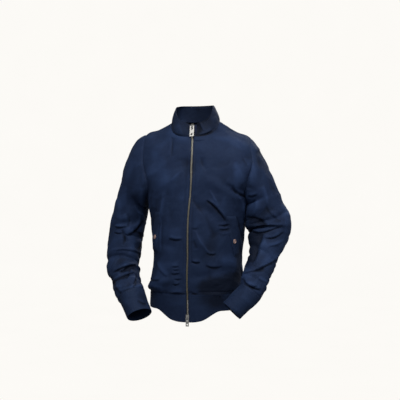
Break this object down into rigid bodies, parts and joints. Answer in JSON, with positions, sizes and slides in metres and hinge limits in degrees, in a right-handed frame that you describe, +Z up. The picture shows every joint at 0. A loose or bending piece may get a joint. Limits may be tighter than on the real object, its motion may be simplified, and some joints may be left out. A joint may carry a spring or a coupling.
{
  "type": "bomber jacket",
  "caption": "Hollow zip-up bomber jacket with stand collar, set-in sleeves, hem band, long cuffs, slanted snap pockets and a two-way zip with hinged pull tabs.",
  "frame": {"origin": "middle of the neck opening, level with the top of the shoulder seams, where the wearer's neck and shoulders hold the jacket", "axes": "+Z up, +X to the wearer's left, -Y to the front"},
  "size_m": [0.6226, 0.3033, 0.7154],
  "materials": {
    "shell_cloth": "navy plain-woven cotton blend with a faint sheen",
    "band_cloth": "navy cloth of the hem band and cuffs, doubled and topstitched",
    "zip_tape": "dark navy woven zip tape",
    "zip_teeth": "aged brass teeth, slightly polished on top",
    "zip_metal": "nickel-plated zinc, softly brushed",
    "snap_metal": "coppered brass snap caps"
  },
  "bodies": {
    "jacket": {"back": "shell_cloth", "front_left": "shell_cloth", "front_right": "shell_cloth", "sleeve_left": "shell_cloth", "sleeve_right": "shell_cloth", "collar": "shell_cloth", "pocket_welt_left": "shell_cloth", "pocket_welt_right": "shell_cloth", "band_back": "band_cloth", "band_front_left": "band_cloth", "band_front_right": "band_cloth", "cuff_left": "band_cloth", "cuff_right": "band_cloth", "zip_tape_left": "zip_tape", "zip_tape_right": "zip_tape", "zip_chain": "zip_teeth", "slider_top": "zip_metal", "slider_bottom": "zip_metal", "snap_left": "snap_metal", "snap_right": "snap_metal"},
    "top_pull": {"pull_top": "zip_metal"},
    "bottom_pull": {"pull_bottom": "zip_metal"}
  },
  "joints": [
    {"name": "top_pull_hinge", "type": "hinge", "parent": "jacket", "child": "top_pull", "pos_m": [0.00608, -0.06899, -0.01749], "axis": [-1, 0, 0], "range_deg": [0, 150]},
    {"name": "bottom_pull_hinge", "type": "hinge", "parent": "jacket", "child": "bottom_pull", "pos_m": [0.004, -0.12277, -0.6261], "axis": [-1, 0, 0], "range_deg": [0, 150]}
  ]
}
